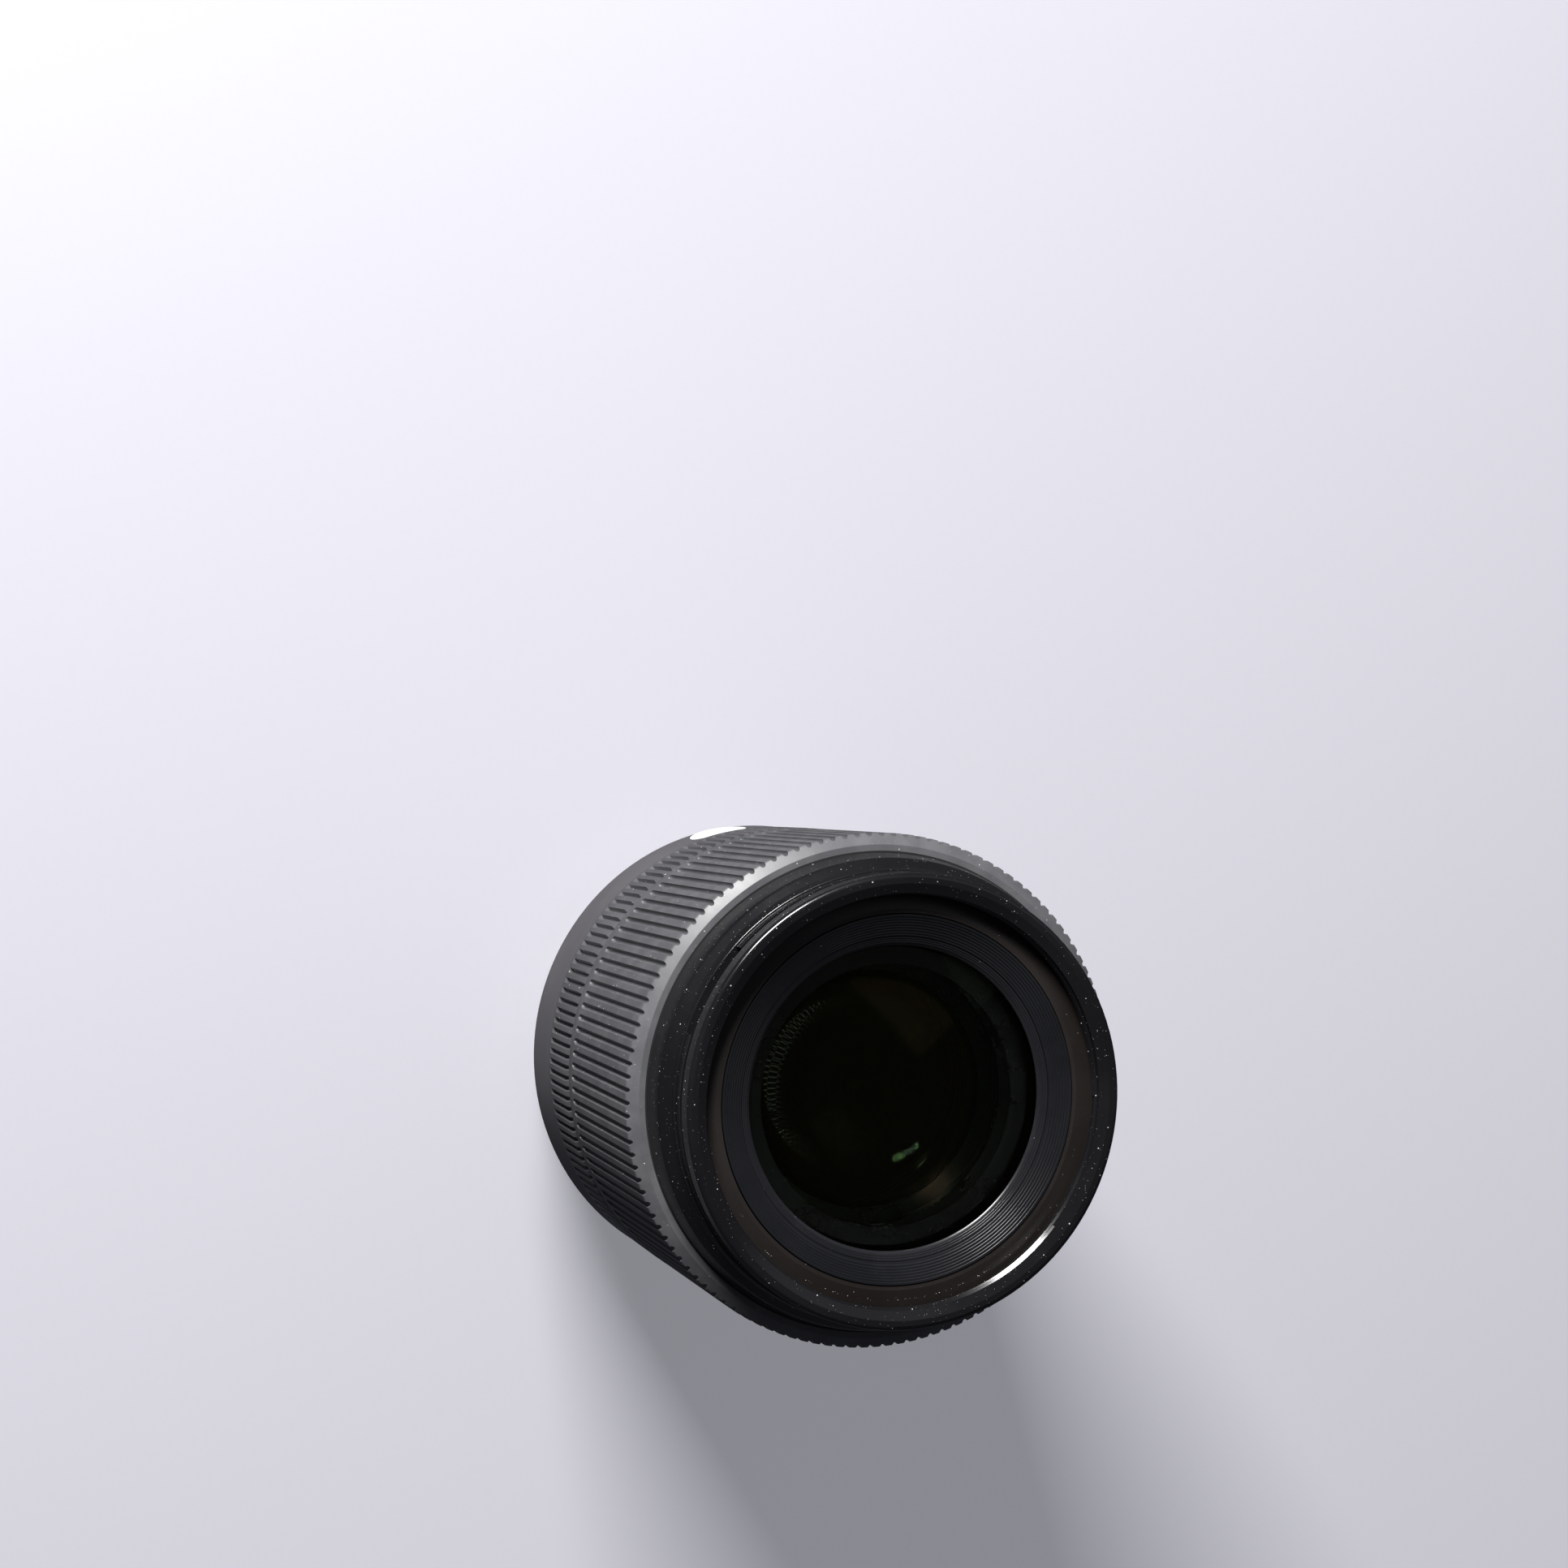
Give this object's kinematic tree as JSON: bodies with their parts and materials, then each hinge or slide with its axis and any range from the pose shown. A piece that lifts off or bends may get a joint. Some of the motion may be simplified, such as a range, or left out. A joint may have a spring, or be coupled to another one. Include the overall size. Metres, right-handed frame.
{
  "type": "camera lens",
  "caption": "Fast fixed-focal camera lens with a ribbed focus ring, a ribbed grip band, filter thread, motor-driven focus and iris, and a bayonet mount.",
  "frame": {"origin": "centre of the bayonet's rear edge, which the lens stands on", "axes": "+Z along the optical axis towards the front glass, +Y towards the index dot"},
  "size_m": [0.0646, 0.0646, 0.0783],
  "materials": {
    "satin_barrel": "satin black paint",
    "ribbed_ring": "satin moulded ribs",
    "gloss_band": "semi-gloss moulded ribs",
    "trim_brown": "matte dark brown",
    "inner_black": "matte black",
    "retainer_black": "black anodised",
    "mount_steel": "satin steel",
    "motor_steel": "drawn steel can",
    "contact_gold": "gold plate or brass",
    "badge_silver": "bright satin disc",
    "index_white": "white dot",
    "blade_black": "thin black blade",
    "ring_black": "black moulded ring",
    "encoder_silver": "reflecting strip",
    "coated_glass": "coated optical glass",
    "board_green": "circuit board",
    "cable_amber": "polyimide strip"
  },
  "bodies": {
    "barrel": {"rear_barrel": "satin_barrel", "front_barrel": "satin_barrel", "grip_band": "gloss_band", "front_trim_ring": "trim_brown", "front_cell": "inner_black", "rear_cell": "inner_black", "middle_cell": "inner_black", "iris_housing": "inner_black", "iris_cover": "inner_black", "rear_baffle": "inner_black", "contact_block": "inner_black", "main_barrel": "inner_black", "ring_sensor": "inner_black", "front_retaining_ring": "retainer_black", "second_retaining_ring": "retainer_black", "doublet_retaining_ring": "retainer_black", "middle_retaining_ring": "retainer_black", "rear_retaining_ring": "retainer_black", "bayonet_mount": "mount_steel", "mount_screws": "mount_steel", "barrel_screws": "mount_steel", "front_screws": "mount_steel", "cell_screws": "mount_steel", "iris_screws": "mount_steel", "middle_cell_screws": "mount_steel", "rear_cell_screws": "mount_steel", "guide_rods": "mount_steel", "iris_motor": "motor_steel", "focus_motor": "motor_steel", "contact_pins": "contact_gold", "side_badge": "badge_silver", "index_dot": "index_white", "lens_element_1": "coated_glass", "lens_element_2": "coated_glass", "lens_element_3": "coated_glass", "lens_element_4": "coated_glass", "lens_element_5": "coated_glass", "lens_element_6": "coated_glass", "lens_element_8": "coated_glass", "lens_element_9": "coated_glass", "circuit_board": "board_green", "flex_cable": "cable_amber"},
    "focus_ring": {"focus_grip": "ribbed_ring", "focus_sleeve": "inner_black", "encoder_strip": "encoder_silver"},
    "focus_carriage": {"focus_carriage": "inner_black", "drive_nut": "contact_gold", "lens_element_7": "coated_glass"},
    "lead_screw": {"lead_screw": "mount_steel"},
    "iris_ring": {"iris_drive_ring": "ring_black"},
    "iris_pinion": {"iris_pinion": "contact_gold"},
    "iris_blade_1": {"iris_blade_1": "blade_black"},
    "iris_blade_2": {"iris_blade_2": "blade_black"},
    "iris_blade_3": {"iris_blade_3": "blade_black"},
    "iris_blade_4": {"iris_blade_4": "blade_black"},
    "iris_blade_5": {"iris_blade_5": "blade_black"},
    "iris_blade_6": {"iris_blade_6": "blade_black"},
    "iris_blade_7": {"iris_blade_7": "blade_black"},
    "iris_blade_8": {"iris_blade_8": "blade_black"},
    "iris_blade_9": {"iris_blade_9": "blade_black"}
  },
  "joints": [
    {"name": "focus_ring_turn", "type": "hinge", "parent": "barrel", "child": "focus_ring", "pos_m": [0, 0, 0.05], "axis": [0, 0, 1], "continuous": true},
    {"name": "focus_carriage_slide", "type": "slide", "parent": "barrel", "child": "focus_carriage", "axis": [0, 0, 1], "range_m": [0, 0.0036]},
    {"name": "lead_screw_spin", "type": "hinge", "parent": "barrel", "child": "lead_screw", "pos_m": [0.0235, 0, 0.04], "axis": [0, 0, 1], "range_deg": [-1081, 0]},
    {"name": "iris_ring_turn", "type": "hinge", "parent": "barrel", "child": "iris_ring", "pos_m": [0, 0, 0.0495], "axis": [0, 0, 1], "range_deg": [0, 22]},
    {"name": "iris_pinion_spin", "type": "hinge", "parent": "barrel", "child": "iris_pinion", "pos_m": [-0.0243, 0, 0.0495], "axis": [0, 0, 1], "range_deg": [-276, 0]},
    {"name": "iris_blade_1_swing", "type": "hinge", "parent": "barrel", "child": "iris_blade_1", "pos_m": [0.0186, 0, 0.0485], "axis": [0, 0, 1], "range_deg": [0, 42]},
    {"name": "iris_blade_2_swing", "type": "hinge", "parent": "barrel", "child": "iris_blade_2", "pos_m": [0.01425, 0.01196, 0.0485], "axis": [0, 0, 1], "range_deg": [0, 42]},
    {"name": "iris_blade_3_swing", "type": "hinge", "parent": "barrel", "child": "iris_blade_3", "pos_m": [0.00323, 0.01832, 0.0485], "axis": [0, 0, 1], "range_deg": [0, 42]},
    {"name": "iris_blade_4_swing", "type": "hinge", "parent": "barrel", "child": "iris_blade_4", "pos_m": [-0.0093, 0.01611, 0.0485], "axis": [0, 0, 1], "range_deg": [0, 42]},
    {"name": "iris_blade_5_swing", "type": "hinge", "parent": "barrel", "child": "iris_blade_5", "pos_m": [-0.01748, 0.00636, 0.0485], "axis": [0, 0, 1], "range_deg": [0, 42]},
    {"name": "iris_blade_6_swing", "type": "hinge", "parent": "barrel", "child": "iris_blade_6", "pos_m": [-0.01748, -0.00636, 0.0485], "axis": [0, 0, 1], "range_deg": [0, 42]},
    {"name": "iris_blade_7_swing", "type": "hinge", "parent": "barrel", "child": "iris_blade_7", "pos_m": [-0.0093, -0.01611, 0.0485], "axis": [0, 0, 1], "range_deg": [0, 42]},
    {"name": "iris_blade_8_swing", "type": "hinge", "parent": "barrel", "child": "iris_blade_8", "pos_m": [0.00323, -0.01832, 0.0485], "axis": [0, 0, 1], "range_deg": [0, 42]},
    {"name": "iris_blade_9_swing", "type": "hinge", "parent": "barrel", "child": "iris_blade_9", "pos_m": [0.01425, -0.01196, 0.0485], "axis": [0, 0, 1], "range_deg": [0, 42]}
  ],
  "couplings": [
    {"joint": "lead_screw_spin", "follows": "focus_carriage_slide", "rad_per_m": -5236},
    {"joint": "iris_pinion_spin", "follows": "iris_ring_turn", "ratio": -12.5},
    {"joint": "iris_blade_1_swing", "follows": "iris_ring_turn", "ratio": 1.9091},
    {"joint": "iris_blade_2_swing", "follows": "iris_ring_turn", "ratio": 1.9091},
    {"joint": "iris_blade_3_swing", "follows": "iris_ring_turn", "ratio": 1.9091},
    {"joint": "iris_blade_4_swing", "follows": "iris_ring_turn", "ratio": 1.9091},
    {"joint": "iris_blade_5_swing", "follows": "iris_ring_turn", "ratio": 1.9091},
    {"joint": "iris_blade_6_swing", "follows": "iris_ring_turn", "ratio": 1.9091},
    {"joint": "iris_blade_7_swing", "follows": "iris_ring_turn", "ratio": 1.9091},
    {"joint": "iris_blade_8_swing", "follows": "iris_ring_turn", "ratio": 1.9091},
    {"joint": "iris_blade_9_swing", "follows": "iris_ring_turn", "ratio": 1.9091}
  ]
}
